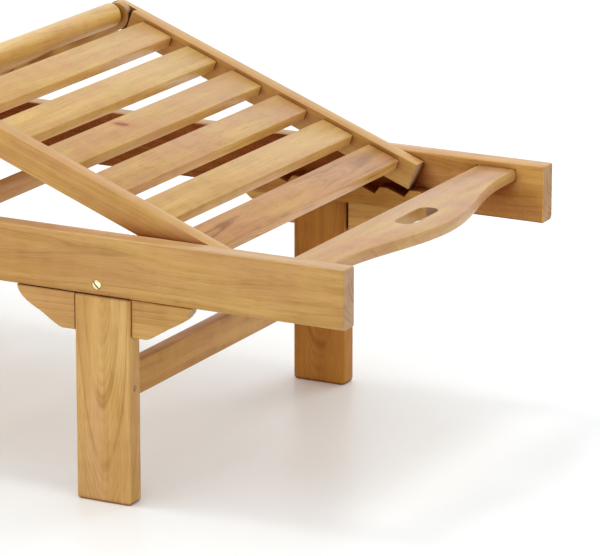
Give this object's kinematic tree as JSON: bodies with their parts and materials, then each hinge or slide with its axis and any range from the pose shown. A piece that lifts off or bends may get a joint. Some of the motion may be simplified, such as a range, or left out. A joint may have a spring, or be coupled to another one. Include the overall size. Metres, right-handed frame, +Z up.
{
  "type": "wooden sun lounger",
  "caption": "Slatted hardwood sun lounger on legs and wheels, with a folding knee section on toothed racks, a propped backrest and a pull handle at the foot end.",
  "frame": {"origin": "on the floor, under the middle of the frame's length and width", "axes": "+X to the foot end with the pull handle, +Y to the left of a person lying on it, +Z up"},
  "size_m": [1.8694, 0.604, 0.5024],
  "materials": {
    "main_frame": "oiled hardwood, satin",
    "under_frame": "oiled hardwood, satin",
    "panel_rails": "oiled hardwood, satin",
    "slats": "oiled hardwood, satin",
    "round_bars": "turned hardwood, satin",
    "handle": "oiled hardwood, satin",
    "wheels": "turned hardwood, satin",
    "brass_bolts": "polished brass"
  },
  "bodies": {
    "frame": {"side_rail_left": "main_frame", "leg_foot_left": "main_frame", "leg_head_left": "main_frame", "bracket_foot_outer_left": "under_frame", "bracket_foot_inner_left": "under_frame", "bracket_head_outer_left": "under_frame", "bracket_head_inner_left": "under_frame", "rack_foot_left": "under_frame", "rack_back_left": "under_frame", "leg_bolt_left": "brass_bolts", "side_rail_right": "main_frame", "leg_foot_right": "main_frame", "leg_head_right": "main_frame", "bracket_foot_outer_right": "under_frame", "bracket_foot_inner_right": "under_frame", "bracket_head_outer_right": "under_frame", "bracket_head_inner_right": "under_frame", "rack_foot_right": "under_frame", "rack_back_right": "under_frame", "leg_bolt_right": "brass_bolts", "handle_board": "handle", "foot_stretcher": "under_frame", "centre_tie": "under_frame", "head_board": "main_frame", "wheel_axle": "wheels"},
    "thigh": {"thigh_rail_left": "panel_rails", "thigh_rail_right": "panel_rails", "seat_hinge_rod": "round_bars", "thigh_slat_1": "slats", "thigh_slat_2": "slats", "thigh_slat_3": "slats", "thigh_slat_4": "slats"},
    "calf": {"calf_rail_left": "panel_rails", "calf_rail_right": "panel_rails", "knee_bar": "round_bars", "calf_slat_1": "slats", "calf_slat_2": "slats", "calf_slat_3": "slats", "calf_slat_4": "slats", "calf_slat_5": "slats", "calf_slat_6": "slats"},
    "backrest": {"back_rail_left": "panel_rails", "back_rail_right": "panel_rails", "back_hinge_rod": "round_bars", "back_slat_1": "slats", "back_slat_2": "slats", "back_slat_3": "slats", "back_slat_4": "slats", "back_slat_5": "slats", "back_slat_6": "slats", "back_slat_7": "slats", "back_slat_8": "slats", "back_slat_9": "slats", "back_slat_10": "slats", "back_slat_11": "slats"},
    "prop": {"prop_arm_left": "under_frame", "prop_arm_right": "under_frame", "prop_bar": "round_bars"},
    "wheel_left": {"wheel_left": "wheels"},
    "wheel_right": {"wheel_right": "wheels"}
  },
  "joints": [
    {"name": "knee_raise", "type": "hinge", "parent": "frame", "child": "thigh", "pos_m": [0.00035, 0, 0.316], "axis": [0, -1, 0], "range_deg": [-28.82, 7.18]},
    {"name": "knee_fold", "type": "hinge", "parent": "thigh", "child": "calf", "pos_m": [0.30963, 0, 0.48616], "axis": [0, -1, 0], "range_deg": [-12.39, 49.72]},
    {"name": "backrest_tilt", "type": "hinge", "parent": "frame", "child": "backrest", "pos_m": [-0.03565, 0, 0.316], "axis": [0, 1, 0], "range_deg": [0, 65]},
    {"name": "prop_swing", "type": "hinge", "parent": "backrest", "child": "prop", "pos_m": [-0.45565, 0, 0.316], "axis": [0, 1, 0], "range_deg": [-130, 0]},
    {"name": "wheel_spin_left", "type": "hinge", "parent": "frame", "child": "wheel_left", "pos_m": [-0.60305, 0.2582, 0.075], "axis": [0, 1, 0], "continuous": true},
    {"name": "wheel_spin_right", "type": "hinge", "parent": "frame", "child": "wheel_right", "pos_m": [-0.60305, -0.2582, 0.075], "axis": [0, 1, 0], "continuous": true}
  ],
  "couplings": [
    {"joint": "knee_fold", "follows": "knee_raise", "ratio": -1.7252},
    {"joint": "prop_swing", "follows": "backrest_tilt", "ratio": -2}
  ]
}
